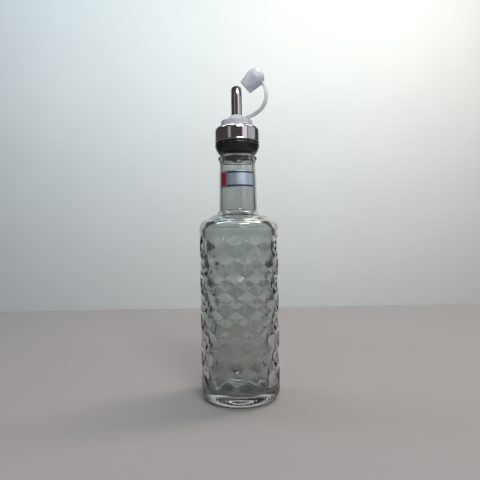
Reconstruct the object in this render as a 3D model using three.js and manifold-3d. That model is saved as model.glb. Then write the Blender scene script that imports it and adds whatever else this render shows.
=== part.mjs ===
// A clear glass oil bottle with a honeycomb relief, a black stopper with a steel collar and
// spout, and a plastic cap that hangs open on its strap. Millimetres, +Z up, origin at the
// middle of the base. Azimuth 0 faces -Y, and azimuth grows towards +X.

import * as THREE from "three";
import { mergeVertices } from "three/addons/utils/BufferGeometryUtils.js";
import Module from "manifold-3d";

const wasm = await Module();
wasm.setup();

// Driving dimensions
const BODY_R = 30; // over the ridges of the relief
const HEEL_R = 7; // round the base
const INSIDE_R = 26.2; // of the body
const GLASS_H = 187; // base to lip
const SHOULDER_Z = 129.3; // where the straight body ends
const NECK_R = 14.6; // at the foot of the neck
const NECK_TOP_R = 13.6; // just under the bead
const NECK_FOOT_Z = 142.5;
const BEAD_Z = 182.4;
const LIP_R = 12.9;
const MOUTH_R = 11.2; // inside the lip
const NECK_BORE_R = 12.4; // inside the neck
const CELLS_ROUND = 12; // hexagons in one row
const CELL_ROWS = 8;
const FIRST_ROW_Z = 20.3; // centre of the lowest row
const RELIEF_DEPTH = 1.8; // middle of a hexagon below its sides
const FIRST_CELL_AZIMUTH = -5; // degrees
const STOPPER_R = 17;
const COLLAR_R = 17.1;
const COLLAR_Z = [194.4, 206.2];
const SPOUT_R = 4.2;
const SPOUT_TIP_Z = 237.6;
const HAT_R = 12.2; // seat of the cap
const STRAP_AZIMUTH = -15; // degrees from +X towards the front
const CAP_MOUTH = [7.1, 236.8]; // out from the axis, and up
const CAP_TILT = 39.5; // degrees that the cap's axis rises
const CAP_LENGTH = 17.3;
const CAP_MOUTH_R = 5.75;
const CAP_CROWN_R = 7.1;
const CAP_WALL = 1.35;
const CAP_CAVITY = CAP_LENGTH - 4.2; // straight part of its inside

const GAP = 0.3; // between pieces that touch
const TURNED_SIDES = 40; // of the collar and the stopper
const DEG = Math.PI / 180;
const CELL_SIDE = (2 * Math.PI * BODY_R) / CELLS_ROUND / Math.sqrt(3);
const ROW_PITCH = 1.5 * CELL_SIDE;

const glass = new THREE.MeshStandardMaterial({ color: 0xdfe9e4, roughness: 0.03, metalness: 0 });
const foil = new THREE.MeshStandardMaterial({ color: 0xb9c0c6, roughness: 0.3, metalness: 0.6 });
const blackRubber = new THREE.MeshStandardMaterial({ color: 0x111113, roughness: 0.5, metalness: 0 });
const steel = new THREE.MeshStandardMaterial({ color: 0xc4c4c6, roughness: 0.12, metalness: 1 });
const milkyPlastic = new THREE.MeshStandardMaterial({ color: 0xd5d8dc, roughness: 0.4, metalness: 0 });

function named(name, geometry, material) {
  const mesh = new THREE.Mesh(geometry, material);
  mesh.name = name;
  return mesh;
}

const point = (r, z) => new THREE.Vector2(r, z);

// Points along an arc about (r, z), from one angle to another in degrees, both ends included.
function arc(r, z, radius, from, to, steps) {
  const points = [];
  for (let i = 0; i <= steps; i++) {
    const angle = (from + ((to - from) * i) / steps) * DEG;
    points.push(point(r + radius * Math.cos(angle), z + radius * Math.sin(angle)));
  }
  return points;
}

// Turns a profile of (radius, height) about +Z, starting at the given azimuth in degrees.
function revolve(profile, segments, azimuth = 0) {
  const geometry = new THREE.LatheGeometry(profile, segments, azimuth * DEG);
  geometry.rotateX(Math.PI / 2);
  return geometry;
}

// Keeps only the positions and joins the vertices that lie together.
function merged(geometry) {
  const bare = geometry.clone();
  bare.deleteAttribute("normal");
  bare.deleteAttribute("uv");
  return mergeVertices(bare, 1e-4);
}

function toSolid(geometry) {
  const closed = merged(geometry);
  const mesh = new wasm.Mesh({
    numProp: 3,
    vertProperties: closed.attributes.position.array,
    triVerts: Uint32Array.from(closed.index.array),
  });
  return new wasm.Manifold(mesh);
}

function toGeometry(solid) {
  const mesh = solid.getMesh();
  const geometry = new THREE.BufferGeometry();
  geometry.setAttribute("position", new THREE.BufferAttribute(mesh.vertProperties, 3));
  geometry.setIndex(new THREE.BufferAttribute(mesh.triVerts, 1));
  geometry.computeVertexNormals();
  return geometry;
}

// How deep the relief is at an azimuth (radians) and height: in each hexagon six flat facets
// fall from its sides to its middle. There is none above the top row or below the lowest.
function reliefDepth(azimuth, z) {
  const cell = (2 * Math.PI) / CELLS_ROUND;
  const apothem = (CELL_SIDE * Math.sqrt(3)) / 2;
  const nearRow = Math.round((z - FIRST_ROW_Z) / ROW_PITCH);
  let depth = 0;
  for (let row = nearRow - 1; row <= nearRow + 1; row++) {
    if (row < 0 || row >= CELL_ROWS) continue;
    const half = (CELL_ROWS - 1 - row) % 2 === 0 ? 0 : 0.5;
    const turns = (azimuth - FIRST_CELL_AZIMUTH * DEG) / cell - half;
    const across = (turns - Math.round(turns)) * cell * BODY_R;
    const up = z - FIRST_ROW_Z - row * ROW_PITCH;
    const outwards = [0, 60, -60].map((a) => Math.abs(across * Math.cos(a * DEG) + up * Math.sin(a * DEG)));
    depth = Math.max(depth, RELIEF_DEPTH * (1 - Math.max(...outwards) / apothem));
  }
  return depth;
}

// The glass: one wall from the punt under the base, up the outside, over the lip and down the
// inside to the floor. Its mesh follows the honeycomb, so that every ridge is an edge.
function bottle() {
  const columns = 4 * CELLS_ROUND;
  const step = CELL_SIDE / 2;
  const bandLow = FIRST_ROW_Z - CELL_SIDE;
  const bandRows = Math.round(((CELL_ROWS - 1) * ROW_PITCH + 2 * CELL_SIDE) / step);
  const shoulderArc = 7;
  const innerShoulderArc = 6;
  const floorZ = 8;
  const profile = [
    point(0, 3.6),
    point(11, 3),
    point(17.5, 1.2),
    point(20, 0),
    ...arc(BODY_R - HEEL_R, HEEL_R, HEEL_R, -90, 0, 4),
  ];
  const firstBandRow = profile.length;
  for (let row = 0; row <= bandRows; row++) {
    profile.push(point(BODY_R, bandLow + row * step));
  }
  profile.push(
    ...arc(BODY_R - shoulderArc, SHOULDER_Z, shoulderArc, 0, 65, 4),
    point(18.2, 139.5),
    point(16, 140.9),
    point(NECK_R, NECK_FOOT_Z + 0.6),
    point(14.3, 162),
    point(14, 171),
    point(NECK_TOP_R, 176.5),
    point(NECK_TOP_R + 0.2, BEAD_Z - 2.8),
    ...arc(NECK_TOP_R, BEAD_Z, 1.4, -60, 60, 4),
    point(LIP_R + 0.1, BEAD_Z + 2.2),
    ...arc(LIP_R - 0.7, GLASS_H - 0.7, 0.7, 0, 90, 2),
    ...arc(MOUTH_R + 0.6, GLASS_H - 0.6, 0.6, 90, 180, 2),
    point(MOUTH_R, 180.5),
    point(NECK_BORE_R, 168),
    point(NECK_BORE_R, NECK_FOOT_Z - 1),
    point(15, 138.9),
    ...arc(INSIDE_R - innerShoulderArc, SHOULDER_Z - 1.6, innerShoulderArc, 65, 0, 3),
    point(INSIDE_R, floorZ + 5),
    ...arc(INSIDE_R - 5, floorZ + 5, 5, 0, -60, 3),
    point(16, floorZ + 0.8),
    point(0, floorZ + 2),
  );

  const geometry = revolve(profile, columns, FIRST_CELL_AZIMUTH);
  const position = geometry.attributes.position;
  const index = [];
  for (let column = 0; column <= columns; column++) {
    const azimuth = FIRST_CELL_AZIMUTH * DEG + (column * 2 * Math.PI) / columns;
    const odd = column % 2 === 1;
    for (let row = 0; row < profile.length; row++) {
      const vertex = column * profile.length + row;
      const inBand = row >= firstBandRow && row <= firstBandRow + bandRows;
      if (inBand) {
        const z = profile[row].y - (odd ? step / 2 : 0);
        const r = BODY_R - reliefDepth(azimuth, z);
        position.setXYZ(vertex, r * Math.sin(azimuth), -r * Math.cos(azimuth), z);
      }
      if (column === columns || row === profile.length - 1) continue;
      const next = vertex + profile.length;
      if (odd) index.push(vertex, next, vertex + 1, next + 1, vertex + 1, next);
      else index.push(vertex, next, next + 1, vertex, next + 1, vertex + 1);
    }
  }
  geometry.setIndex(index);
  return named("bottle", solidSkin(geometry), glass);
}

// Joins the seam and the poles of a turned shape, and drops the triangles that have no area.
function solidSkin(geometry) {
  const closed = merged(geometry);
  const corners = closed.index.array;
  const kept = [];
  for (let i = 0; i < corners.length; i += 3) {
    const [a, b, c] = [corners[i], corners[i + 1], corners[i + 2]];
    if (a !== b && b !== c && c !== a) kept.push(a, b, c);
  }
  closed.setIndex(kept);
  closed.computeVertexNormals();
  return closed;
}

// A thin sticker bent round part of the neck.
function label() {
  const low = 159.2;
  const high = 171.7;
  const innerR = 14.4 + GAP;
  const thickness = 0.3;
  const [from, to] = [-62, 55];
  const steps = 14;
  const outline = new THREE.Shape();
  outline.absarc(0, 0, innerR + thickness, (from - 90) * DEG, (to - 90) * DEG, false);
  outline.absarc(0, 0, innerR, (to - 90) * DEG, (from - 90) * DEG, true);
  const geometry = new THREE.ExtrudeGeometry(outline, {
    depth: high - low,
    bevelEnabled: false,
    curveSegments: steps,
  });
  geometry.translate(0, 0, low);
  return named("label", geometry, foil);
}

// The black stopper: a plug in the neck, a tapered flange over the lip and a core inside the
// collar.
function stopper() {
  const boreR = SPOUT_R + GAP;
  const plugR = MOUTH_R - GAP;
  const rim = LIP_R + GAP;
  const seatZ = GLASS_H + GAP;
  const plugLow = 184.3;
  const coreR = COLLAR_R - 0.8 - GAP;
  const profile = [
    point(boreR, plugLow),
    point(plugR - 0.8, plugLow),
    point(plugR, plugLow + 0.8),
    point(plugR, seatZ),
    point(rim, seatZ),
    point(rim, 185.9),
    point(rim + 0.7, 185.8),
    point(14.6, 186.6),
    point(15.3, 187.7),
    point(16, 189.1),
    point(16.5, 190.4),
    point(16.85, 191.3),
    point(STOPPER_R, 192),
    point(STOPPER_R, 193.1),
    point(STOPPER_R - 0.3, 193.4),
    point(coreR, 193.4),
    point(coreR, COLLAR_Z[1] - 3.1),
    point(coreR - 2, COLLAR_Z[1] - 0.8 - GAP),
    point(boreR, COLLAR_Z[1] - 0.8 - GAP),
    point(boreR, plugLow),
  ];
  return named("stopper", revolve(profile, TURNED_SIDES), blackRubber);
}

// The steel collar: a pressed shell, open below and with a round hole on top for the cap's seat.
function collar() {
  const [low, high] = COLLAR_Z;
  const wall = 0.8;
  const round = 3;
  const holeR = HAT_R + GAP;
  const profile = [
    point(COLLAR_R - wall, low),
    point(COLLAR_R, low),
    point(COLLAR_R + 0.15, low + 0.6),
    point(COLLAR_R, low + 1.2),
    ...arc(COLLAR_R - round, high - round, round, 0, 90, 4),
    point(holeR, high),
    point(holeR, high - wall),
    ...arc(COLLAR_R - round, high - round, round - wall, 90, 0, 2),
    point(COLLAR_R - wall, low),
  ];
  return named("collar", revolve(profile, TURNED_SIDES), steel);
}

// The steel spout: a tube whose tip slants back.
function spout() {
  const boreR = SPOUT_R - 0.6;
  const low = 181.5;
  const profile = [
    point(boreR, low),
    point(SPOUT_R, low),
    point(SPOUT_R, SPOUT_TIP_Z),
    point(boreR, SPOUT_TIP_Z),
    point(boreR, low),
  ];
  const size = 40;
  const backSlant = new THREE.BoxGeometry(size, size, size);
  backSlant.translate(0, 0, size / 2);
  backSlant.rotateX(-26 * DEG);
  backSlant.translate(0, -SPOUT_R, SPOUT_TIP_Z);
  const tube = toSolid(revolve(profile, 24)).subtract(toSolid(backSlant));
  return named("spout", toGeometry(tube), steel);
}

// The seat of the cap: a stepped disc on the collar with a boss round the spout.
function capSeat() {
  const boreR = SPOUT_R + GAP;
  const low = COLLAR_Z[1] - 0.8;
  const profile = [
    point(boreR, low),
    point(HAT_R, low),
    point(HAT_R, 210.8),
    point(HAT_R - 0.6, 211.4),
    point(10.2, 211.6),
    point(8.1, 212.6),
    point(6.4, 213.7),
    point(5.6, 214.9),
    point(5.2, 215.4),
    point(boreR, 215.4),
    point(boreR, low),
  ];
  return toSolid(revolve(profile, 32));
}

// The cap itself: a thimble, open at its mouth, with a domed crown.
function capThimble() {
  const crownZ = 10.4;
  const domeR = CAP_LENGTH - crownZ;
  const inner = CAP_MOUTH_R - CAP_WALL;
  const profile = [
    point(inner, 0),
    point(CAP_MOUTH_R, 0),
    point(CAP_MOUTH_R + 0.1, 1),
    point(CAP_CROWN_R, crownZ),
  ];
  for (let i = 1; i <= 5; i++) {
    const angle = (90 * i * DEG) / 5;
    profile.push(point(i === 5 ? 0 : CAP_CROWN_R * Math.cos(angle), crownZ + domeR * Math.sin(angle)));
  }
  profile.push(point(0, CAP_LENGTH - 1.8), point(inner - 0.9, CAP_LENGTH - 2.6));
  profile.push(point(inner, CAP_CAVITY), point(inner, 0));
  const geometry = revolve(profile, 24);
  geometry.rotateY((90 - CAP_TILT) * DEG);
  geometry.translate(CAP_MOUTH[0], 0, CAP_MOUTH[1]);
  return toSolid(geometry);
}

// The strap: a flat band from the seat up to the back of the cap.
function strap() {
  const path = new THREE.CatmullRomCurve3(
    [
      [7.2, 213.7],
      [10.5, 214.4],
      [13.7, 215.7],
      [17, 217.6],
      [20.1, 220.2],
      [22.4, 224.3],
      [23.3, 228.6],
      [23.1, 232.8],
      [22.1, 236.6],
      [19.8, 240],
    ].map(([out, up]) => new THREE.Vector3(out, 0, up)),
  );
  const [width, thickness, corner] = [4.6, 2.2, 0.7];
  const section = new THREE.Shape();
  section.moveTo(-width / 2 + corner, -thickness / 2);
  section.lineTo(width / 2 - corner, -thickness / 2);
  section.lineTo(width / 2, -thickness / 2 + corner);
  section.lineTo(width / 2, thickness / 2 - corner);
  section.lineTo(width / 2 - corner, thickness / 2);
  section.lineTo(-width / 2 + corner, thickness / 2);
  section.lineTo(-width / 2, thickness / 2 - corner);
  section.lineTo(-width / 2, -thickness / 2 + corner);
  section.closePath();
  return toSolid(new THREE.ExtrudeGeometry(section, { steps: 28, bevelEnabled: false, extrudePath: path }));
}

function cap() {
  const whole = capSeat().add(strap()).add(capThimble());
  const inner = CAP_MOUTH_R - CAP_WALL;
  const socket = new THREE.CylinderGeometry(inner, inner, CAP_CAVITY, 24);
  socket.translate(0, CAP_CAVITY / 2, 0);
  socket.rotateX(Math.PI / 2);
  socket.rotateY((90 - CAP_TILT) * DEG);
  socket.translate(CAP_MOUTH[0], 0, CAP_MOUTH[1]);
  const geometry = toGeometry(whole.subtract(toSolid(socket)));
  geometry.rotateZ(STRAP_AZIMUTH * DEG);
  return named("cap", geometry, milkyPlastic);
}

const oilBottle = new THREE.Group();
oilBottle.add(bottle(), label(), stopper(), collar(), spout(), cap());

export default oilBottle;
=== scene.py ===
"""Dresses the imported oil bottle: honeycomb glass, sticker, stopper, steel collar and spout, and open cap.

Lengths in the profiles are millimetres; the settings and the finished meshes are in metres.
Azimuth 0 faces -Y, and azimuth grows towards +X.
"""

import math
from functools import partial

import bmesh
import bpy
from mathutils import Matrix, Vector


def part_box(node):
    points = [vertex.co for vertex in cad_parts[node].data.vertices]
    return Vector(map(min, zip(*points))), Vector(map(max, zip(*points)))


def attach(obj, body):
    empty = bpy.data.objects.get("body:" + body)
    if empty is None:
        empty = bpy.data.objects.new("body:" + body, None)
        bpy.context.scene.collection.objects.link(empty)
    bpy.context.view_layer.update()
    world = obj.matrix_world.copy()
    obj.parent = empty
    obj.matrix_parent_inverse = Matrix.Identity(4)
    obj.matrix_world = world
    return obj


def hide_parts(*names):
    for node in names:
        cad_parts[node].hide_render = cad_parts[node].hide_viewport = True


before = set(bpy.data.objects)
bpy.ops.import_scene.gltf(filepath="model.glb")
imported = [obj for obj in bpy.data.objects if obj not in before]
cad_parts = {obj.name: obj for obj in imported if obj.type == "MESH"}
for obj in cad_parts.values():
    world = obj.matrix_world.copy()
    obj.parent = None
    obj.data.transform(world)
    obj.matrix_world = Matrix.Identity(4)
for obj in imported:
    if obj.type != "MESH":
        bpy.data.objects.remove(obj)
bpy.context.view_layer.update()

bl_info = {
    "name": "Oil Bottle",
    "version": (1, 0, 0),
    "blender": (4, 5, 0),
    "location": "3D View > Sidebar > Oil Bottle",
    "description": "Builds the finished looks of a glass oil bottle with a steel pourer and an open cap",
    "category": "Object",
}

MM = 0.001
# The body's radius, in metres
BODY_R = (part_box("bottle")[1].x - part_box("bottle")[0].x) / 2
# The sizes of the CAD's parts, in millimetres and degrees
HEEL_R = 7.0
INSIDE_R = 26.2
SHOULDER_Z = 129.3
SHOULDER_R = 7
SHOULDER_SWEEP = 65
MOUTH_R = 11.2
NECK_BORE_R = 12.4
LIP_R = 12.9
BEAD_Z = 182.4
COLLAR_R = 17.1
COLLAR_LOW, COLLAR_HIGH = 194.4, 206.2
SPOUT_R = 4.2
SPOUT_TIP_Z = 237.6
HAT_R = 12.2
CAP_MOUTH = (7.1, 236.8)
CAP_TILT = 39.5
CAP_MOUTH_R = 5.75
CAP_CROWN_R = 7.1
CAP_CROWN_Z = 10.4
CAP_LENGTH = 17.3
CAP_WALL = 1.35
STRAP_AZIMUTH = -15
SPOUT_SLANT = 26
NECK_LINE = ((14.6, 143.1), (14.3, 162.0), (14.0, 171.0), (13.6, 176.5), (13.8, 179.6))
STRAP_LINE = (
    (7.2, 213.7),
    (10.5, 214.4),
    (13.7, 215.7),
    (17.0, 217.6),
    (20.1, 220.2),
    (22.4, 224.3),
    (23.3, 228.6),
    (23.1, 232.8),
    (22.1, 236.6),
    (19.8, 240.0),
)

# The honeycomb: its hexagons, the height of its lowest row, its radius and a hexagon's side (mm)
CELLS_ROUND = 12
CELL_ROWS = 8
FIRST_ROW_Z = 20.3
HONEYCOMB_R = 30
CELL_SIDE = 2 * math.pi * HONEYCOMB_R / CELLS_ROUND / math.sqrt(3)
COS_30 = math.sqrt(0.75)

# How finely the pieces are meshed: columns round each, and the glass's steps up a hexagon's side
GLASS_COLUMNS = 264
BAND_STEPS = 16
STOPPER_COLUMNS = 128
STEEL_COLUMNS = 160
SEAT_COLUMNS = 96
CAP_COLUMNS = 72
STICKER_COLUMNS, STICKER_ROWS = 72, 10
# Edges sharper than this stay sharp (degrees); the spout's slanted rim needs a lower limit
SHARP_ANGLE = 40
RIM_SHARP_ANGLE = 35

# Rounding of a hexagon's own creases: across its middle (m2) and where its facets meet (m)
MIDDLE_SOFTNESS = 6e-8
CREASE_SOFTNESS = 0.0004
# The floor of the glass is more uneven than its wall, in waves of the same fineness
FLOOR_WAVES = 4.0
WAVE_SCALE = 55.0

# The sticker: its back and front off the neck and the drop at its edges (mm)
STICKER_BACK, STICKER_FRONT, STICKER_EDGE = 0.05, 0.17, 0.04
# Its thin lines and its panel, as shares of its height from the middle and of its length
LINE_INNER, LINE_OUTER, LINE_START = 0.35, 0.455, 0.235
PANEL_START, PANEL_END, PANEL_HALF_HEIGHT = 0.03, 0.21, 0.40

# A Mix node's colour sockets, which share their names with its number sockets
MIX_FIRST, MIX_SECOND, MIX_RESULT = 6, 7, 2
# Light has to pass many walls of glass
LIGHT_BOUNCES = 24


# Profiles and meshes


def arc(r, z, radius, start, end, steps):
    """Points of (radius, height) along an arc about (r, z), angles in degrees, both ends included."""
    points = []
    for i in range(steps + 1):
        angle = math.radians(start + (end - start) * i / steps)
        points.append((r + radius * math.cos(angle), z + radius * math.sin(angle)))
    return points


def line(start, end, steps):
    """Evenly spaced points from start to end, both ends included."""
    return [
        (start[0] + (end[0] - start[0]) * i / steps, start[1] + (end[1] - start[1]) * i / steps)
        for i in range(steps + 1)
    ]


def eased(points, steps):
    """A smooth curve through the points, with so many steps between each pair."""
    result = []
    for i in range(len(points) - 1):
        around = (points[max(i - 1, 0)], points[i], points[i + 1], points[min(i + 2, len(points) - 1)])
        for k in range(steps):
            t = k / steps
            weights = (
                -0.5 * t + t * t - 0.5 * t**3,
                1 - 2.5 * t * t + 1.5 * t**3,
                0.5 * t + 2 * t * t - 1.5 * t**3,
                -0.5 * t * t + 0.5 * t**3,
            )
            result.append(tuple(sum(w * p[n] for w, p in zip(weights, around)) for n in (0, 1)))
    result.append(points[-1])
    return result


def on_circle(r, z, azimuth):
    """A point in metres at a radius, height (mm) and azimuth (radians)."""
    return (r * MM * math.sin(azimuth), -r * MM * math.cos(azimuth), z * MM)


def turned(name, profile, columns, start=0.0):
    """Turns a profile (mm) about Z. Going up its outside makes faces that point outwards.

    A profile ends on the axis, or its last point repeats its first. Returns the mesh and, for
    each vertex, the number of its profile point.
    """
    closed = profile[0] == profile[-1]
    points = profile[:-1] if closed else profile
    vertices, rings, source = [], [], []
    for number, (r, z) in enumerate(points):
        count = 1 if r < 1e-6 else columns
        ring = [len(vertices) + c for c in range(count)]
        for c in range(count):
            vertices.append(on_circle(r, z, start + 2 * math.pi * c / columns))
            source.append(number)
        rings.append(ring)
    if closed:
        rings.append(rings[0])
    faces = []
    for low, high in zip(rings, rings[1:]):
        for c in range(columns):
            d = (c + 1) % columns
            corners = [low[c % len(low)], low[d % len(low)], high[d % len(high)], high[c % len(high)]]
            faces.append(list(dict.fromkeys(corners)))
    mesh = bpy.data.meshes.new(name)
    mesh.from_pydata(vertices, [], faces)
    mesh.update()
    return mesh, source


def smoothed(mesh, sharp_angle=None):
    """Smooth shading, with edges over the angle (degrees) left sharp."""
    mesh.shade_smooth()
    if sharp_angle is not None:
        mesh.set_sharp_from_angle(angle=math.radians(sharp_angle))
    return mesh


def add_object(name, mesh):
    """Links a new object with this mesh to the scene."""
    obj = bpy.data.objects.new(name, mesh)
    bpy.context.scene.collection.objects.link(obj)
    return obj


def baked(obj, name):
    """The evaluated shape of an object as a plain mesh object; the first object is removed."""
    graph = bpy.context.evaluated_depsgraph_get()
    mesh = bpy.data.meshes.new_from_object(obj.evaluated_get(graph))
    mesh.name = name
    old = obj.data
    bpy.data.objects.remove(obj)
    bpy.data.meshes.remove(old)
    return add_object(name, mesh)


def finish_piece(obj, node):
    """The piece replaces a CAD node, which is hidden, and rides on the root body."""
    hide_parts(node)
    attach(obj, "root")


# Node helpers


def set_or_link(tree, socket, value):
    """Sets a socket to a number or a colour, or links another node's output to it."""
    if isinstance(value, bpy.types.NodeSocket):
        tree.links.new(value, socket)
    else:
        socket.default_value = value


def math_node(tree, operation, *values):
    """Adds a Math node and returns its output. A value is a number or another node's output."""
    node = tree.nodes.new("ShaderNodeMath")
    node.operation = operation
    for socket, value in zip(node.inputs, values):
        set_or_link(tree, socket, value)
    return node.outputs[0]


def new_tree(name, inputs):
    """A geometry tree with these (name, kind) inputs and one geometry output, and its inputs' values."""
    tree = bpy.data.node_groups.new(name, "GeometryNodeTree")
    for label, kind in inputs:
        tree.interface.new_socket(name=label, in_out="INPUT", socket_type="NodeSocket" + kind)
    tree.interface.new_socket(name="Geometry", in_out="OUTPUT", socket_type="NodeSocketGeometry")
    return tree, tree.nodes.new("NodeGroupInput").outputs


def add_nodes(obj, name, tree, values):
    """Puts a geometry tree on an object and sets its inputs by name."""
    modifier = obj.modifiers.new(name, "NODES")
    modifier.node_group = tree
    for item in tree.interface.items_tree:
        if item.item_type == "SOCKET" and item.in_out == "INPUT" and item.name in values:
            modifier[item.identifier] = values[item.name]


def tree_end(tree, geometry, material):
    """Ends a tree with Realize Instances and Set Material."""
    realize = tree.nodes.new("GeometryNodeRealizeInstances")
    paint = tree.nodes.new("GeometryNodeSetMaterial")
    output = tree.nodes.new("NodeGroupOutput")
    tree.links.new(geometry, realize.inputs["Geometry"])
    tree.links.new(realize.outputs["Geometry"], paint.inputs["Geometry"])
    tree.links.new(material, paint.inputs["Material"])
    tree.links.new(paint.outputs["Geometry"], output.inputs["Geometry"])


# Material helpers


class Finish:
    """A material's node tree with short ways to add the nodes that the finishes share."""

    def __init__(self, name):
        self.material = bpy.data.materials.new(name)
        self.material.use_nodes = True
        self.tree = self.material.node_tree
        self.nodes = self.tree.nodes
        self.links = self.tree.links
        self.shader = self.nodes["Principled BSDF"]
        self.place = self.nodes.new("ShaderNodeTexCoord")

    def set(self, **values):
        """Sets the shader's own sockets: Base_Color is Base Color."""
        for name, value in values.items():
            self.shader.inputs[name.replace("_", " ")].default_value = value

    def mapped(self, scale):
        """The object's own coordinates, scaled along each axis."""
        node = self.nodes.new("ShaderNodeMapping")
        node.inputs["Scale"].default_value = scale
        self.links.new(self.place.outputs["Object"], node.inputs["Vector"])
        return node.outputs[0]

    def noise(self, scale, detail=2.0, roughness=0.5, vector=None):
        """Soft noise between 0 and 1, in the object's own coordinates unless others are given."""
        node = self.nodes.new("ShaderNodeTexNoise")
        node.inputs["Scale"].default_value = scale
        node.inputs["Detail"].default_value = detail
        node.inputs["Roughness"].default_value = roughness
        self.links.new(vector or self.place.outputs["Object"], node.inputs["Vector"])
        return node.outputs["Fac"]

    def ramp(self, value, low, high, from_low=0.0, from_high=1.0):
        """Maps a value from one range to another, held at both ends."""
        node = self.nodes.new("ShaderNodeMapRange")
        self.links.new(value, node.inputs["Value"])
        node.inputs["From Min"].default_value = from_low
        node.inputs["From Max"].default_value = from_high
        node.inputs["To Min"].default_value = low
        node.inputs["To Max"].default_value = high
        return node.outputs["Result"]

    def blend(self, factor, first, second):
        """Mixes two colours, each given as red, green and blue or as a node's output."""
        node = self.nodes.new("ShaderNodeMix")
        node.data_type = "RGBA"
        self.links.new(factor, node.inputs["Factor"])
        for number, value in ((MIX_FIRST, first), (MIX_SECOND, second)):
            colour = value if isinstance(value, bpy.types.NodeSocket) else (*value, 1.0)
            set_or_link(self.tree, node.inputs[number], colour)
        return node.outputs[MIX_RESULT]

    def mottle(self, value, colour, other, start, end):
        """Base colour that goes from one colour to the other as the value goes from start to end."""
        self.wire(self.blend(self.ramp(value, 0, 1, start, end), colour, other), "Base Color")

    def bump(self, height, strength, distance, below=None):
        """A normal that a height bends, on top of another one where it is given."""
        node = self.nodes.new("ShaderNodeBump")
        node.inputs["Strength"].default_value = strength
        node.inputs["Distance"].default_value = distance
        self.links.new(height, node.inputs["Height"])
        if below is not None:
            self.links.new(below, node.inputs["Normal"])
        return node.outputs["Normal"]

    def wire(self, output, socket):
        """Links an output to one of the shader's own sockets."""
        self.links.new(output, self.shader.inputs[socket])


def shaded(colour, share):
    """The colour, made darker to this share."""
    return tuple(channel * share for channel in colour)


# Settings


class GlassSettings(bpy.types.PropertyGroup):
    cells_round: bpy.props.IntProperty(
        name="Cells Round",
        description="Hexagons in one row of the relief",
        default=CELLS_ROUND,
        min=6,
        max=24,
    )
    cell_rows: bpy.props.IntProperty(
        name="Cell Rows", description="Rows of hexagons up the body", default=CELL_ROWS, min=1, max=12
    )
    first_row_height: bpy.props.FloatProperty(
        name="First Row Height",
        description="Centre of the lowest row",
        default=FIRST_ROW_Z * MM,
        unit="LENGTH",
    )
    first_cell_azimuth: bpy.props.FloatProperty(
        name="First Cell Azimuth",
        description="Where the top row's first hexagon is, from the front",
        default=math.radians(-5),
        subtype="ANGLE",
    )
    relief_depth: bpy.props.FloatProperty(
        name="Relief Depth",
        description="Middle of a hexagon below its sides",
        default=0.0019,
        min=0,
        max=0.003,
        unit="LENGTH",
    )
    ridge_rounding: bpy.props.FloatProperty(
        name="Ridge Rounding",
        description="Width of each ridge's rounding to one side",
        default=0.0010,
        min=0.0001,
        max=0.004,
        unit="LENGTH",
    )
    knurls_round: bpy.props.IntProperty(
        name="Knurls Round",
        description="Fine notches round the heel of the base",
        default=72,
        min=12,
        max=144,
    )
    knurl_depth: bpy.props.FloatProperty(
        name="Knurl Depth",
        description="Depth of the notches",
        default=0.0003,
        min=0,
        max=0.001,
        unit="LENGTH",
    )
    waviness: bpy.props.FloatProperty(
        name="Inner Waviness",
        description="Uneven thickness of the wall, seen from inside",
        default=0.00016,
        min=0,
        max=0.001,
        unit="LENGTH",
    )
    tint: bpy.props.FloatVectorProperty(
        name="Glass Tint",
        description="Colour that the glass gives to what is seen through it",
        default=(0.67, 0.70, 0.68),
        min=0,
        max=1,
        subtype="COLOR",
    )


class StickerSettings(bpy.types.PropertyGroup):
    low: bpy.props.FloatProperty(
        name="Lower Edge",
        description="Height of the lower edge",
        default=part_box("label")[0].z,
        unit="LENGTH",
    )
    high: bpy.props.FloatProperty(
        name="Upper Edge",
        description="Height of the upper edge",
        default=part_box("label")[1].z,
        unit="LENGTH",
    )
    start: bpy.props.FloatProperty(
        name="Left End", description="Azimuth of the left end", default=math.radians(-62), subtype="ANGLE"
    )
    end: bpy.props.FloatProperty(
        name="Right End", description="Azimuth of the right end", default=math.radians(55), subtype="ANGLE"
    )
    foil: bpy.props.FloatVectorProperty(
        name="Foil",
        description="Colour of the silver foil",
        default=(0.46, 0.53, 0.62),
        min=0,
        max=1,
        subtype="COLOR",
    )
    lines: bpy.props.FloatVectorProperty(
        name="Lines",
        description="Colour of the thin lines",
        default=(0.012, 0.03, 0.08),
        min=0,
        max=1,
        subtype="COLOR",
    )
    panel: bpy.props.FloatVectorProperty(
        name="Panel",
        description="Colour of the left panel",
        default=(0.30, 0.02, 0.035),
        min=0,
        max=1,
        subtype="COLOR",
    )


class StopperSettings(bpy.types.PropertyGroup):
    colour: bpy.props.FloatVectorProperty(
        name="Rubber",
        description="Colour of the rubber",
        default=(0.006, 0.006, 0.007),
        min=0,
        max=1,
        subtype="COLOR",
    )
    plug_ribs: bpy.props.IntProperty(
        name="Plug Ribs", description="Soft ribs that hold in the neck", default=2, min=0, max=3
    )


class SteelSettings(bpy.types.PropertyGroup):
    colour: bpy.props.FloatVectorProperty(
        name="Steel",
        description="Colour of the polished steel",
        default=(0.58, 0.55, 0.57),
        min=0,
        max=1,
        subtype="COLOR",
    )
    roughness: bpy.props.FloatProperty(
        name="Roughness", description="Middle roughness of the polish", default=0.10, min=0.02, max=0.6
    )


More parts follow.
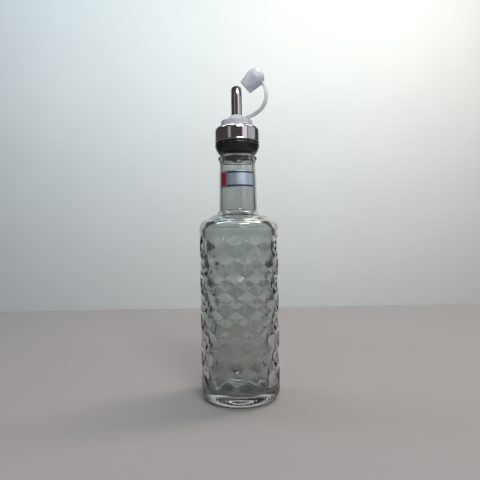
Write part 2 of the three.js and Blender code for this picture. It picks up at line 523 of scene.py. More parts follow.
class CapSettings(bpy.types.PropertyGroup):
    colour: bpy.props.FloatVectorProperty(
        name="Plastic",
        description="Colour of the milky plastic",
        default=(0.83, 0.85, 0.92),
        min=0,
        max=1,
        subtype="COLOR",
    )
    strap_width: bpy.props.FloatProperty(
        name="Strap Width", description="Width of the strap", default=0.0046, unit="LENGTH"
    )
    strap_thickness: bpy.props.FloatProperty(
        name="Strap Thickness", description="Thickness of the strap", default=0.0022, unit="LENGTH"
    )
    strap_corner: bpy.props.FloatProperty(
        name="Strap Corner", description="Rounding of the strap's edges", default=0.0009, unit="LENGTH"
    )
    voxel: bpy.props.FloatProperty(
        name="Join Fineness",
        description="Grid on which the parts are joined",
        default=0.0003,
        min=0.0002,
        unit="LENGTH",
    )


class StageSettings(bpy.types.PropertyGroup):
    floor: bpy.props.FloatVectorProperty(
        name="Floor",
        description="Colour of the floor",
        default=(0.255, 0.234, 0.231),
        min=0,
        max=1,
        subtype="COLOR",
    )
    wall: bpy.props.FloatVectorProperty(
        name="Wall",
        description="Colour of the wall",
        default=(0.64, 0.665, 0.67),
        min=0,
        max=1,
        subtype="COLOR",
    )
    floor_depth: bpy.props.FloatProperty(
        name="Floor Depth",
        description="From the bottle's axis to the floor's far edge",
        default=0.42,
        unit="LENGTH",
    )
    wall_distance: bpy.props.FloatProperty(
        name="Wall Distance", description="From the bottle's axis to the wall", default=1.0, unit="LENGTH"
    )
    lens: bpy.props.FloatProperty(name="Lens", description="Focal length in millimetres", default=31.5)
    camera: bpy.props.FloatVectorProperty(
        name="Camera",
        description="Where the camera stands",
        default=(0.001, -0.324, 0.120),
        subtype="TRANSLATION",
    )
    roll: bpy.props.FloatProperty(
        name="Roll", description="Sideways lean of the camera", default=math.radians(0.9), subtype="ANGLE"
    )
    light_power: bpy.props.FloatProperty(
        name="Light Power", description="Power that each light takes its share of, in watts", default=6.0
    )


# Glass


def glass_profile():
    """The wall from the punt, up the outside, over the lip and down the inside, and what each part is."""
    low = FIRST_ROW_Z - CELL_SIDE
    rows = round((1.5 * CELL_ROWS + 0.5) * BAND_STEPS)
    body = BODY_R / MM
    foot = eased([(0, 3.6), (5.5, 3.5), (11, 3.0), (14.5, 2.1), (17.5, 1.2), (19, 0.4), (20, 0)], 2)
    heel = [(body - HEEL_R, 0.0)] + arc(body - HEEL_R, HEEL_R, HEEL_R, -80, 0, 12)
    band = [(body, low + i * CELL_SIDE / BAND_STEPS) for i in range(rows + 1)]
    shoulder = arc(body - SHOULDER_R, SHOULDER_Z, SHOULDER_R, 0, SHOULDER_SWEEP, 12)
    hip = [shoulder[-1], (22.2, 137.5), (18.2, 139.5), (16.0, 140.9), (14.8, 142.6), NECK_LINE[0]]
    hip = eased(hip, 3)[1:]
    neck = eased(NECK_LINE, 3)[1:]
    bead = arc(13.6, BEAD_Z, 1.4, -60, 60, 8) + [(13.05, 184.5)]
    lip = arc(LIP_R - 0.7, 186.3, 0.7, 0, 90, 4) + arc(MOUTH_R + 0.6, 186.4, 0.6, 90, 180, 4)
    throat = eased([(MOUTH_R, 183), (MOUTH_R + 0.1, 181), (11.7, 176), (12.1, 172), (NECK_BORE_R, 167)], 3)
    throat += line((NECK_BORE_R, 165), (NECK_BORE_R, 144.5), 4)
    vault = [(NECK_BORE_R, 142.8), (12.7, 141.4), (13.6, 140.1), (15, 138.9), (17.5, 137.4), (20.5, 135.5)]
    vault = eased(vault, 2) + arc(INSIDE_R - 6, 127.7, 6, SHOULDER_SWEEP, 0, 10)
    wall = line((INSIDE_R, 122), (INSIDE_R, 16), 26)
    floor = arc(INSIDE_R - 5, 13, 5, 0, -60, 8)
    floor += [(21, 8.35), (18, 8.5), (13, 9.0), (8, 9.6), (4, 9.9), (0, 10)]
    parts = (
        ("plain", foot),
        ("heel", heel),
        ("band", band),
        ("plain", shoulder + hip + neck + bead + lip),
        ("inside", throat + vault + wall),
        ("floor", floor),
    )
    profile, kinds = [], []
    for kind, points in parts:
        profile += points
        kinds += [kind] * len(points)
    return profile, kinds


def hexagon_dip(calc, turns, height, row, sizes):
    """How far the relief of one row dips at a point: flat facets that end in rounded ridges."""
    cell_rows, pitch, first_height, arc_length, apothem, slope, rounding = sizes
    from_top = calc("SUBTRACT", cell_rows, calc("ADD", row, 1))
    parity = calc("FLOORED_MODULO", from_top, 2)
    shifted = calc("SUBTRACT", turns, calc("MULTIPLY", parity, 0.5))
    off = calc("SUBTRACT", shifted, calc("ROUND", shifted))
    across = calc("MULTIPLY", off, arc_length)
    softened = calc("ADD", calc("MULTIPLY", across, across), MIDDLE_SOFTNESS)
    across = calc("SQRT", softened)
    centre = calc("ADD", first_height, calc("MULTIPLY", row, pitch))
    up = calc("ABSOLUTE", calc("SUBTRACT", height, centre))
    slanted = calc("ADD", calc("MULTIPLY", across, 0.5), calc("MULTIPLY", up, COS_30))
    out = calc("SMOOTH_MAX", across, slanted, CREASE_SOFTNESS)
    side = calc("MAXIMUM", calc("SUBTRACT", apothem, out), 0)
    near = calc("MINIMUM", side, rounding)
    curved = calc("DIVIDE", calc("MULTIPLY", near, near), calc("MULTIPLY", rounding, 2))
    straight = calc("MAXIMUM", calc("SUBTRACT", side, rounding), 0)
    dip = calc("MULTIPLY", slope, calc("ADD", curved, straight))
    middle = calc("MULTIPLY", calc("SUBTRACT", cell_rows, 1), 0.5)
    from_middle = calc("ABSOLUTE", calc("SUBTRACT", row, middle))
    held = calc("LESS_THAN", from_middle, calc("MULTIPLY", cell_rows, 0.5))
    return calc("MULTIPLY", dip, held)


def attribute(tree, name):
    """The mesh's own number of this name at each point."""
    node = tree.nodes.new("GeometryNodeInputNamedAttribute")
    node.data_type = "FLOAT"
    node.inputs["Name"].default_value = name
    return node.outputs["Attribute"]


RELIEF_INPUTS = (
    ("Geometry", "Geometry"),
    ("Cells Round", "Int"),
    ("Cell Rows", "Int"),
    ("First Row Height", "Float"),
    ("Body Radius", "Float"),
    ("First Cell Azimuth", "Float"),
    ("Relief Depth", "Float"),
    ("Ridge Rounding", "Float"),
    ("Knurls Round", "Int"),
    ("Knurl Depth", "Float"),
    ("Inner Waviness", "Float"),
    ("Material", "Material"),
)


def relief_tree():
    """Presses the honeycomb, the knurls and the uneven inner wall into the turned glass."""
    tree, given = new_tree("Pressed Glass Relief", RELIEF_INPUTS)
    calc = partial(math_node, tree)
    where = tree.nodes.new("GeometryNodeInputPosition").outputs[0]
    split = tree.nodes.new("ShaderNodeSeparateXYZ")
    tree.links.new(where, split.inputs[0])
    x, y, height = split.outputs
    azimuth = calc("ARCTAN2", x, calc("MULTIPLY", y, -1))

    cell_angle = calc("DIVIDE", 2 * math.pi, given["Cells Round"])
    arc_length = calc("MULTIPLY", cell_angle, given["Body Radius"])
    apothem = calc("MULTIPLY", arc_length, 0.5)
    pitch = calc("MULTIPLY", arc_length, COS_30)
    run = calc("SUBTRACT", apothem, calc("MULTIPLY", given["Ridge Rounding"], 0.5))
    slope = calc("DIVIDE", given["Relief Depth"], run)
    turns = calc("DIVIDE", calc("SUBTRACT", azimuth, given["First Cell Azimuth"]), cell_angle)
    above = calc("SUBTRACT", height, given["First Row Height"])
    low_row = calc("FLOOR", calc("DIVIDE", above, pitch))
    high_row = calc("ADD", low_row, 1)
    sizes = (
        given["Cell Rows"],
        pitch,
        given["First Row Height"],
        arc_length,
        apothem,
        slope,
        given["Ridge Rounding"],
    )
    low_dip = hexagon_dip(calc, turns, height, low_row, sizes)
    high_dip = hexagon_dip(calc, turns, height, high_row, sizes)
    dip = calc("MAXIMUM", low_dip, high_dip)
    relief = calc("MULTIPLY", dip, attribute(tree, "band"))

    notch = calc("COSINE", calc("MULTIPLY", azimuth, given["Knurls Round"]))
    notch = calc("MULTIPLY_ADD", notch, -0.5, 0.5)
    notch = calc("MULTIPLY", calc("MULTIPLY", notch, given["Knurl Depth"]), attribute(tree, "heel"))

    wave = tree.nodes.new("ShaderNodeTexNoise")
    wave.inputs["Scale"].default_value = WAVE_SCALE
    wave.inputs["Detail"].default_value = 1.0
    wavy = calc("SUBTRACT", wave.outputs["Fac"], 0.5)
    wavy = calc("MULTIPLY", calc("MULTIPLY", wavy, given["Inner Waviness"]), attribute(tree, "inside"))

    inward = calc("ADD", calc("ADD", relief, notch), calc("MULTIPLY", wavy, 2))
    normal = tree.nodes.new("GeometryNodeInputNormal").outputs[0]
    push = tree.nodes.new("ShaderNodeVectorMath")
    push.operation = "SCALE"
    tree.links.new(normal, push.inputs[0])
    tree.links.new(calc("MULTIPLY", inward, -1), push.inputs["Scale"])
    move = tree.nodes.new("GeometryNodeSetPosition")
    tree.links.new(given["Geometry"], move.inputs["Geometry"])
    tree.links.new(push.outputs[0], move.inputs["Offset"])
    tree_end(tree, move.outputs["Geometry"], given["Material"])
    return tree


def clear_glass(tint):
    """Clear pressed glass: a soft orange-peel surface, faint smears and a light tint."""
    finish = Finish("Clear pressed glass")
    finish.set(Base_Color=(*tint, 1.0), Transmission_Weight=1.0, IOR=1.5)
    smears = finish.noise(38, detail=4, roughness=0.6, vector=finish.mapped((1, 1, 0.35)))
    finish.wire(finish.ramp(smears, 0.0, 0.05, 0.5, 0.85), "Roughness")
    peel = finish.noise(260, detail=1)
    drawn = finish.noise(90, detail=1, vector=finish.mapped((1, 1, 0.2)))
    surface = finish.bump(peel, 0.16, 0.0002)
    surface = finish.bump(drawn, 0.10, 0.0006, surface)
    finish.wire(surface, "Normal")
    return finish.material


class OILBOTTLE_OT_glass(bpy.types.Operator):
    """Makes the glass with its honeycomb relief"""

    bl_idname = "oil_bottle.glass"
    bl_label = "Build Glass"

    def execute(self, context):
        settings = context.scene.oil_bottle_glass
        profile, kinds = glass_profile()
        mesh, source = turned("glass_blank", profile, GLASS_COLUMNS, settings.first_cell_azimuth)
        masks = {
            "heel": {"heel": 1.0},
            "band": {"band": 1.0},
            "inside": {"inside": 1.0, "floor": FLOOR_WAVES},
        }
        for name, weights in masks.items():
            values = [weights.get(kinds[number], 0.0) for number in source]
            mask = mesh.attributes.new(name, "FLOAT", "POINT")
            mask.data.foreach_set("value", values)
        smoothed(mesh)
        blank = add_object("glass_blank", mesh)
        values = {
            "Cells Round": settings.cells_round,
            "Cell Rows": settings.cell_rows,
            "First Row Height": settings.first_row_height,
            "Body Radius": BODY_R,
            "First Cell Azimuth": settings.first_cell_azimuth,
            "Relief Depth": settings.relief_depth,
            "Ridge Rounding": settings.ridge_rounding,
            "Knurls Round": settings.knurls_round,
            "Knurl Depth": settings.knurl_depth,
            "Inner Waviness": settings.waviness,
            "Material": clear_glass(settings.tint),
        }
        add_nodes(blank, "Relief", relief_tree(), values)
        glass = baked(blank, "honeycomb_glass")
        smoothed(glass.data)
        finish_piece(glass, "bottle")
        return {"FINISHED"}


# Sticker


def neck_radius(z):
    """Outer radius of the neck (mm) at a height (mm)."""
    for (r0, z0), (r1, z1) in zip(NECK_LINE, NECK_LINE[1:]):
        if z <= z1:
            return r0 + (r1 - r0) * (z - z0) / (z1 - z0)
    return NECK_LINE[-1][0]


def sticker_finish(settings):
    """Silver foil with a plain panel at one end and two thin lines, placed by the sticker's own UV."""
    finish = Finish("Silver foil sticker")
    split = finish.nodes.new("ShaderNodeSeparateXYZ")
    finish.links.new(finish.place.outputs["UV"], split.inputs[0])
    u, v, _ = split.outputs
    calc = partial(math_node, finish.tree)
    from_middle = calc("ABSOLUTE", calc("SUBTRACT", v, 0.5))
    inner = calc("GREATER_THAN", from_middle, LINE_INNER)
    outer = calc("LESS_THAN", from_middle, LINE_OUTER)
    run = calc("GREATER_THAN", u, LINE_START)
    lines = calc("MULTIPLY", calc("MULTIPLY", inner, outer), run)
    panel = calc("MULTIPLY", calc("GREATER_THAN", u, PANEL_START), calc("LESS_THAN", u, PANEL_END))
    panel = calc("MULTIPLY", panel, calc("LESS_THAN", from_middle, PANEL_HALF_HEIGHT))
    specks = finish.noise(420, detail=3, roughness=0.6)
    foil = finish.blend(finish.ramp(specks, 0, 1, 0.35, 0.65), settings.foil, shaded(settings.foil, 0.84))
    colour = finish.blend(lines, foil, settings.lines)
    colour = finish.blend(panel, colour, settings.panel)
    finish.wire(colour, "Base Color")
    ink = calc("MAXIMUM", lines, panel)
    finish.wire(finish.ramp(ink, 0.75, 0.1), "Metallic")
    finish.wire(finish.ramp(specks, 0.26, 0.42), "Roughness")
    wrinkle = finish.noise(150, detail=2)
    finish.wire(finish.bump(wrinkle, 0.25, 0.0003), "Normal")
    return finish.material


class OILBOTTLE_OT_sticker(bpy.types.Operator):
    """Makes the thin sticker round the neck"""

    bl_idname = "oil_bottle.sticker"
    bl_label = "Build Sticker"

    def execute(self, context):
        settings = context.scene.oil_bottle_sticker
        across, up = STICKER_COLUMNS, STICKER_ROWS
        bm = bmesh.new()
        uv = bm.loops.layers.uv.new("UVMap")
        places = {}
        for layer, offset in enumerate((STICKER_BACK, STICKER_FRONT)):
            for i in range(across + 1):
                for j in range(up + 1):
                    u, v = i / across, j / up
                    azimuth = settings.start + (settings.end - settings.start) * u
                    z = (settings.low + (settings.high - settings.low) * v) / MM
                    edge = STICKER_EDGE if layer == 1 and (i in (0, across) or j in (0, up)) else 0.0
                    vertex = bm.verts.new(on_circle(neck_radius(z) + offset - edge, z, azimuth))
                    places[layer, i, j] = (vertex, (u, v))

        def patch(*keys):
            face = bm.faces.new([places[key][0] for key in keys])
            for loop, key in zip(face.loops, keys):
                loop[uv].uv = places[key][1]

        for i in range(across):
            for j in range(up):
                patch((1, i, j), (1, i + 1, j), (1, i + 1, j + 1), (1, i, j + 1))
                patch((0, i, j), (0, i, j + 1), (0, i + 1, j + 1), (0, i + 1, j))
            patch((0, i, 0), (0, i + 1, 0), (1, i + 1, 0), (1, i, 0))
            patch((1, i, up), (1, i + 1, up), (0, i + 1, up), (0, i, up))
        for j in range(up):
            patch((0, 0, j), (1, 0, j), (1, 0, j + 1), (0, 0, j + 1))
            patch((1, across, j), (0, across, j), (0, across, j + 1), (1, across, j + 1))
        mesh = bpy.data.meshes.new("neck_sticker")
        bm.to_mesh(mesh)
        bm.free()
        mesh.materials.append(sticker_finish(settings))
        finish_piece(add_object("neck_sticker", smoothed(mesh, SHARP_ANGLE)), "label")
        return {"FINISHED"}


# Stopper


def stopper_profile(ribs):
    """The plug in the neck, the tapered flange with its ring and the core inside the collar."""
    bore = SPOUT_R + 0.06
    plug = MOUTH_R - 0.25
    rim = LIP_R + 0.25
    seat = 187.25
    core = COLLAR_R - 1.1
    side = [(bore, 184.35), (plug - 0.8, 184.35)] + arc(plug - 0.5, 184.9, 0.5, -60, 0, 3)
    for i in range(ribs):
        z = 185.3 + i * 0.9
        side += [(plug, z - 0.25), (plug + 0.12, z), (plug, z + 0.25)]
    under = [(plug, seat), (rim, seat), (rim, 185.95)] + arc(rim + 0.4, 186.0, 0.25, -150, -60, 3)
    flange = [(13.9, 185.85), (14.6, 186.6), (15.3, 187.7), (16.0, 189.1), (16.5, 190.4), (16.85, 191.3)]
    flange = eased(flange, 3)
    ring = eased([(16.98, 191.8), (17.0, 192.3), (16.98, 192.9), (16.8, 193.3)], 3) + [(16.6, 193.38)]
    head = [(core, 193.4), (core, COLLAR_HIGH - 3.1), (core - 2, COLLAR_HIGH - 1.1)]
    return side + under + flange + ring + head + [(bore, COLLAR_HIGH - 1.1), (bore, 184.35)]


def black_rubber(colour):
    """Satin black rubber with a fine grain and a little dust."""
    finish = Finish("Satin black rubber")
    dust = finish.noise(160, detail=5, roughness=0.65)
    grey = tuple(c * 2.4 + 0.006 for c in colour)
    finish.mottle(dust, colour, grey, 0.5, 0.8)
    finish.wire(finish.ramp(dust, 0.20, 0.32), "Roughness")
    grain = finish.noise(2400, detail=2)
    finish.wire(finish.bump(grain, 0.22, 0.0001), "Normal")
    return finish.material


class OILBOTTLE_OT_stopper(bpy.types.Operator):
    """Makes the black rubber stopper"""

    bl_idname = "oil_bottle.stopper"
    bl_label = "Build Stopper"

    def execute(self, context):
        settings = context.scene.oil_bottle_stopper
        mesh, _ = turned("rubber_stopper", stopper_profile(settings.plug_ribs), STOPPER_COLUMNS)
        mesh.materials.append(black_rubber(settings.colour))
        finish_piece(add_object("rubber_stopper", smoothed(mesh, SHARP_ANGLE)), "stopper")
        return {"FINISHED"}


# Steel


def polished_steel(settings):
    """Polished stainless steel with fine turning lines round the axis and faint smears."""
    finish = Finish("Polished stainless steel")
    smears = finish.noise(70, detail=4, roughness=0.6, vector=finish.mapped((1, 1, 0.5)))
    turning = finish.noise(2600, detail=2, vector=finish.mapped((0.012, 0.012, 1)))
    finish.mottle(smears, settings.colour, shaded(settings.colour, 0.86), 0.4, 0.7)
    finish.set(Metallic=1.0)
    smeared = finish.ramp(smears, settings.roughness - 0.02, settings.roughness + 0.02, 0.3, 0.8)
    lined = finish.ramp(turning, -0.01, 0.01, 0.3, 0.7)
    finish.wire(math_node(finish.tree, "ADD", smeared, lined), "Roughness")
    finish.wire(finish.bump(turning, 0.06, 0.00005), "Normal")
    return finish.material


def collar_profile():
    """The pressed shell: a rolled lower lip, a straight side and a rounded top with a round hole."""
    low, high = COLLAR_LOW, COLLAR_HIGH
    wall = 0.8
    bend = 3.0
    hole = HAT_R + 0.12
    outer = [(COLLAR_R - wall, low + 0.25), (COLLAR_R - wall + 0.2, low)]
    outer += arc(COLLAR_R - 0.35, low + 0.5, 0.5, -90, 20, 6)
    outer += [(COLLAR_R + 0.02, low + 1.05), (COLLAR_R, low + 1.3)]
    outer += line((COLLAR_R, low + 1.8), (COLLAR_R, high - bend - 0.4), 4)
    outer += arc(COLLAR_R - bend, high - bend, bend, 0, 90, 10)
    inner = [(hole + 0.15, high), (hole, high - 0.12), (hole, high - wall)]
    inner += arc(COLLAR_R - bend, high - bend, bend - wall, 90, 0, 6)
    return outer + inner + [outer[0]]


class OILBOTTLE_OT_collar(bpy.types.Operator):
    """Makes the steel collar"""

    bl_idname = "oil_bottle.collar"
    bl_label = "Build Collar"

    def execute(self, context):
        mesh, _ = turned("steel_collar", collar_profile(), STEEL_COLUMNS)
        mesh.materials.append(polished_steel(context.scene.oil_bottle_steel))
        finish_piece(add_object("steel_collar", smoothed(mesh, SHARP_ANGLE)), "collar")
        return {"FINISHED"}


def rim_height(azimuth, r):
    """Height of the spout's rim (mm), which slants back."""
    return SPOUT_TIP_Z - math.tan(math.radians(SPOUT_SLANT)) * (SPOUT_R - r * math.cos(azimuth))


class OILBOTTLE_OT_spout(bpy.types.Operator):
    """Makes the steel pouring tube"""

    bl_idname = "oil_bottle.spout"
    bl_label = "Build Spout"

    def execute(self, context):
        columns = STEEL_COLUMNS
        bore = SPOUT_R - 0.6
        ring = [(bore + 0.1, 0, 181.5), (SPOUT_R - 0.1, 0, 181.5), (SPOUT_R, 0, 181.65)]
        ring += [(SPOUT_R, 0, z) for z in (190, 200, 206, 212, 218, 224, 229)]
        ring += [(SPOUT_R, 1, -0.14), (SPOUT_R - 0.05, 1, -0.04), (SPOUT_R - 0.15, 1, 0)]
        ring += [(bore + 0.15, 1, 0), (bore + 0.05, 1, -0.04), (bore, 1, -0.14)]
        ring += [(bore, 0, z) for z in (229, 218, 206, 190, 181.65)]
        vertices, faces = [], []
        for c in range(columns):
            azimuth = 2 * math.pi * c / columns
            for r, follows, z in ring:
                top = rim_height(azimuth, SPOUT_R - 0.3) if follows else 0
                vertices.append(on_circle(r, z + top, azimuth))
        count = len(ring)
        for c in range(columns):
            d = (c + 1) % columns
            for j in range(count):
                k = (j + 1) % count
                faces.append((c * count + j, d * count + j, d * count + k, c * count + k))
        mesh = bpy.data.meshes.new("steel_spout")
        mesh.from_pydata(vertices, [], faces)
        mesh.materials.append(bpy.data.materials["Polished stainless steel"])
        finish_piece(add_object("steel_spout", smoothed(mesh, RIM_SHARP_ANGLE)), "spout")
        return {"FINISHED"}


# Cap


STRAP_INPUTS = (
    ("Geometry", "Geometry"),
    ("Width", "Float"),
    ("Thickness", "Float"),
    ("Corner", "Float"),
    ("Material", "Material"),
)


def strap_tree():
    """Sweeps a rounded flat section along the strap's line."""
    tree, given = new_tree("Flat Strap", STRAP_INPUTS)
    path = tree.nodes.new("GeometryNodeMeshToCurve")
    tree.links.new(given["Geometry"], path.inputs["Mesh"])
    facing = tree.nodes.new("GeometryNodeSetCurveNormal")
    facing.mode = "FREE"
    facing.inputs["Normal"].default_value = (0, 1, 0)
    tree.links.new(path.outputs["Curve"], facing.inputs["Curve"])
    section = tree.nodes.new("GeometryNodeCurvePrimitiveQuadrilateral")
    tree.links.new(given["Width"], section.inputs["Width"])
    tree.links.new(given["Thickness"], section.inputs["Height"])
    corners = tree.nodes.new("GeometryNodeFilletCurve")
    corners.mode = "POLY"
    corners.inputs["Count"].default_value = 4
    tree.links.new(section.outputs["Curve"], corners.inputs["Curve"])
    tree.links.new(given["Corner"], corners.inputs["Radius"])
    sweep = tree.nodes.new("GeometryNodeCurveToMesh")
    sweep.inputs["Fill Caps"].default_value = True
    tree.links.new(facing.outputs["Curve"], sweep.inputs["Curve"])
    tree.links.new(corners.outputs["Curve"], sweep.inputs["Profile Curve"])
    tree_end(tree, sweep.outputs["Mesh"], given["Material"])
    return tree


def strap_piece(settings, material):
    """The strap from the seat to the back of the cap, along its line in the XZ plane."""
    points = eased(STRAP_LINE, 8)
    mesh = bpy.data.meshes.new("strap_line")
    edges = [(i, i + 1) for i in range(len(points) - 1)]
    mesh.from_pydata([(out * MM, 0, up * MM) for out, up in points], edges, [])
    obj = add_object("strap_line", mesh)
    values = {
        "Width": settings.strap_width,
        "Thickness": settings.strap_thickness,
        "Corner": settings.strap_corner,
        "Material": material,
    }
    add_nodes(obj, "Strap", strap_tree(), values)
    return baked(obj, "strap")


def seat_profile():
    """The stepped disc on the collar and the boss round the spout."""
    bore = SPOUT_R + 0.08
    low = COLLAR_HIGH - 0.8
    hat = [(bore, low), (HAT_R - 0.1, low), (HAT_R, low + 0.1), (HAT_R, 210.3)]
    hat += arc(HAT_R - 0.6, 210.8, 0.6, 0, 80, 4)
    slope = eased([(10.9, 211.5), (10.2, 211.6), (8.1, 212.6), (6.4, 213.7), (5.6, 214.9)], 3)
    boss = [(5.5, 215.15), (5.2, 215.4), (bore + 0.2, 215.4), (bore, 215.2), (bore, low)]
    return hat + slope + boss


def thimble_profile():
    """The cap itself: open at its mouth, with a domed crown and a bead round the mouth."""
    mouth, crown = CAP_MOUTH_R, CAP_CROWN_R
    inner = mouth - CAP_WALL
    outer = [(inner, 0.3), (inner + 0.3, 0), (mouth - 0.25, 0), (mouth, 0.25)]
    outer += [(mouth + 0.05, 0.6), (mouth + 0.1, 1.0)]
    outer += [((mouth + crown) / 2, (CAP_CROWN_Z + 0.6) / 2), (crown, CAP_CROWN_Z)]
    dome = arc(0, 0, 1, 12, 90, 9)[:-1] + [(0.0, 1.0)]
    height = CAP_LENGTH - CAP_CROWN_Z
    outer += [(crown * x, CAP_CROWN_Z + height * y) for x, y in dome]
    cavity = CAP_LENGTH - 1.8
    return outer, [(0.0, cavity), (inner - 0.9, cavity - 0.8), (inner, cavity - 2.4), (inner, 0.3)]


def milky_plastic(colour):
    """Soft translucent plastic: light goes in and spreads, with a slightly uneven satin surface."""
    finish = Finish("Milky soft plastic")
    cloud = finish.noise(120, detail=3)
    finish.mottle(cloud, colour, shaded(colour, 0.94), 0.35, 0.7)
    finish.set(
        Subsurface_Weight=0.7,
        Subsurface_Radius=(1.0, 1.0, 1.1),
        Subsurface_Scale=0.003,
        Transmission_Weight=0.55,
        IOR=1.45,
    )
    finish.wire(finish.ramp(cloud, 0.30, 0.46), "Roughness")
    skin = finish.noise(900, detail=2)
    finish.wire(finish.bump(skin, 0.12, 0.0001), "Normal")
    return finish.material


class OILBOTTLE_OT_cap(bpy.types.Operator):
    """Makes the open cap, its strap and its seat as one moulding"""

    bl_idname = "oil_bottle.cap"
    bl_label = "Build Cap"

    def execute(self, context):
        settings = context.scene.oil_bottle_cap
        material = milky_plastic(settings.colour)
        seat, _ = turned("cap_seat", seat_profile(), SEAT_COLUMNS)
        outer, inner = thimble_profile()
        thimble, _ = turned("cap_thimble", outer + inner, CAP_COLUMNS)
        tilt = Matrix.Rotation(math.radians(90 - CAP_TILT), 4, "Y")
        thimble.transform(Matrix.Translation((CAP_MOUTH[0] * MM, 0, CAP_MOUTH[1] * MM)) @ tilt)
        strap = strap_piece(settings, material)
        bm = bmesh.new()
        for mesh in (seat, thimble, strap.data):
            bm.from_mesh(mesh)
        bmesh.ops.remove_doubles(bm, verts=bm.verts, dist=1e-7)
        whole = bpy.data.meshes.new("cap_parts")
        bm.to_mesh(whole)
        bm.free()
        bpy.data.objects.remove(strap)
        whole.transform(Matrix.Rotation(math.radians(STRAP_AZIMUTH), 4, "Z"))
        obj = add_object("cap_parts", whole)
        join = obj.modifiers.new("Join", "REMESH")
        join.mode = "VOXEL"
        join.voxel_size = settings.voxel
        soften = obj.modifiers.new("Soften", "SMOOTH")
        soften.factor = 0.5
        soften.iterations = 6
        cap = baked(obj, "strap_cap")
        cap.data.materials.clear()
        cap.data.materials.append(material)
        smoothed(cap.data)
        finish_piece(cap, "cap")
        return {"FINISHED"}


# Stage


def plain_surface(name, colour, roughness):
    """A plain matt surface with a faint unevenness."""
    finish = Finish(name)
    cloud = finish.noise(6, detail=3)
    finish.mottle(cloud, colour, shaded(colour, 0.97), 0.3, 0.7)
    finish.set(Roughness=roughness)
    return finish.material


def stage_sheet(name, corners, material):
    """A flat four-cornered sheet of the stage."""
    mesh = bpy.data.meshes.new(name)
    mesh.from_pydata(corners, [], [(0, 1, 2, 3)])
    mesh.materials.append(material)
    obj = add_object(name, mesh)


def softbox(name, location, target, size, power, colour):
    """A rectangular light at a place, aimed at a target."""
    light = bpy.data.lights.new(name, "AREA")
    light.shape = "RECTANGLE"
    light.size, light.size_y = size
    light.energy = power
    light.color = colour
    obj = bpy.data.objects.new(name, light)
    obj.location = location
    obj.rotation_euler = (Vector(target) - Vector(location)).to_track_quat("-Z", "Y").to_euler()
    bpy.context.scene.collection.objects.link(obj)


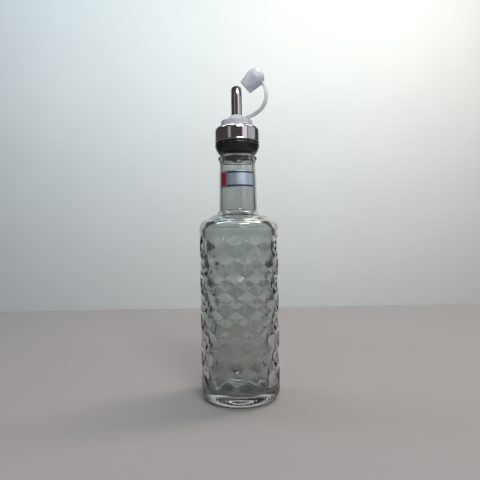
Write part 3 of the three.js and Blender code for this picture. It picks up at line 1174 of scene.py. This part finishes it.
class OILBOTTLE_OT_stage(bpy.types.Operator):
    """Makes the floor, the wall, the lights and the camera"""

    bl_idname = "oil_bottle.stage"
    bl_label = "Build Stage"

    def execute(self, context):
        settings = context.scene.oil_bottle_stage
        far = settings.wall_distance
        edge, half = settings.floor_depth, 0.5
        wide, low, high = 0.8, -0.3, 0.95
        floor = [(-half, -half, 0), (half, -half, 0), (half, edge, 0), (-half, edge, 0)]
        wall = [(-wide, far, low), (wide, far, low), (wide, far, high), (-wide, far, high)]
        stage_sheet("floor", floor, plain_surface("Plain floor", settings.floor, 0.75))
        stage_sheet("wall", wall, plain_surface("Plain wall", settings.wall, 0.85))
        middle = (0, 0, 0.13)
        power = settings.light_power
        softbox("key", (0.56, -0.67, 0.50), middle, (0.40, 0.6), power * 0.14, (1.0, 0.98, 0.97))
        softbox("right_panel", (0.9, -0.15, 0.45), middle, (0.8, 0.6), power * 0.15, (0.90, 0.95, 1.0))
        softbox("left_window", (-0.5, -0.62, 0.42), middle, (0.2, 0.42), power * 0.018, (0.92, 0.96, 1.0))
        softbox("high_strip", (0.26, -0.82, 0.80), middle, (0.50, 0.12), power * 1.45, (0.97, 0.99, 1.0))
        softbox("top", (0.0, -0.2, 1.1), middle, (0.7, 0.5), power * 0.38, (0.95, 0.97, 1.0))
        softbox("cool_wash", (-0.5, 0.25, 1.15), (-0.45, far, 0.1), (0.8, 0.3), power, (0.76, 0.91, 1.0))
        softbox("warm_wash", (0.5, 0.25, 1.15), (0.3, far, 0.0), (0.8, 0.3), power * 1.9, (1.0, 0.97, 0.87))
        world = bpy.data.worlds.new("Studio")
        world.use_nodes = True
        background = world.node_tree.nodes["Background"]
        background.inputs["Color"].default_value = (0.60, 0.54, 0.57, 1)
        background.inputs["Strength"].default_value = 0.14
        context.scene.world = world
        camera = bpy.data.cameras.new("camera")
        camera.lens = settings.lens
        camera.sensor_width = 36
        camera.clip_start = 0.01
        viewer = bpy.data.objects.new("camera", camera)
        viewer.location = settings.camera
        viewer.rotation_euler = (math.radians(90), settings.roll, 0)
        context.scene.collection.objects.link(viewer)
        context.scene.camera = viewer
        context.scene.view_settings.view_transform = "Standard"
        context.scene.cycles.max_bounces = LIGHT_BOUNCES
        context.scene.cycles.transmission_bounces = LIGHT_BOUNCES
        return {"FINISHED"}


class OILBOTTLE_PT_parts(bpy.types.Panel):
    """Lists the bottle's settings and the buttons that build its pieces"""

    bl_label = "Oil Bottle"
    bl_idname = "OILBOTTLE_PT_parts"
    bl_space_type = "VIEW_3D"
    bl_region_type = "UI"
    bl_category = "Oil Bottle"

    def draw(self, context):
        for settings, operators in PARTS:
            box = self.layout.box()
            group = getattr(context.scene, settings)
            for name in group.__annotations__:
                box.prop(group, name)
            for operator in operators:
                box.operator(operator.bl_idname)


PARTS = (
    ("oil_bottle_glass", (OILBOTTLE_OT_glass,)),
    ("oil_bottle_sticker", (OILBOTTLE_OT_sticker,)),
    ("oil_bottle_stopper", (OILBOTTLE_OT_stopper,)),
    ("oil_bottle_steel", (OILBOTTLE_OT_collar, OILBOTTLE_OT_spout)),
    ("oil_bottle_cap", (OILBOTTLE_OT_cap,)),
    ("oil_bottle_stage", (OILBOTTLE_OT_stage,)),
)
SETTINGS = {
    "oil_bottle_glass": GlassSettings,
    "oil_bottle_sticker": StickerSettings,
    "oil_bottle_stopper": StopperSettings,
    "oil_bottle_steel": SteelSettings,
    "oil_bottle_cap": CapSettings,
    "oil_bottle_stage": StageSettings,
}
OPERATORS = tuple(operator for _, operators in PARTS for operator in operators)


def register():
    for name, group in SETTINGS.items():
        bpy.utils.register_class(group)
        setattr(bpy.types.Scene, name, bpy.props.PointerProperty(type=group))
    for operator in OPERATORS:
        bpy.utils.register_class(operator)
    bpy.utils.register_class(OILBOTTLE_PT_parts)


def unregister():
    bpy.utils.unregister_class(OILBOTTLE_PT_parts)
    for operator in reversed(OPERATORS):
        bpy.utils.unregister_class(operator)
    for name, group in reversed(SETTINGS.items()):
        delattr(bpy.types.Scene, name)
        bpy.utils.unregister_class(group)


def main():
    """Builds every piece and the stage."""
    register()
    for operator in OPERATORS:
        group, action = operator.bl_idname.split(".")
        getattr(getattr(bpy.ops, group), action)()


if __name__ == "__main__":
    main()
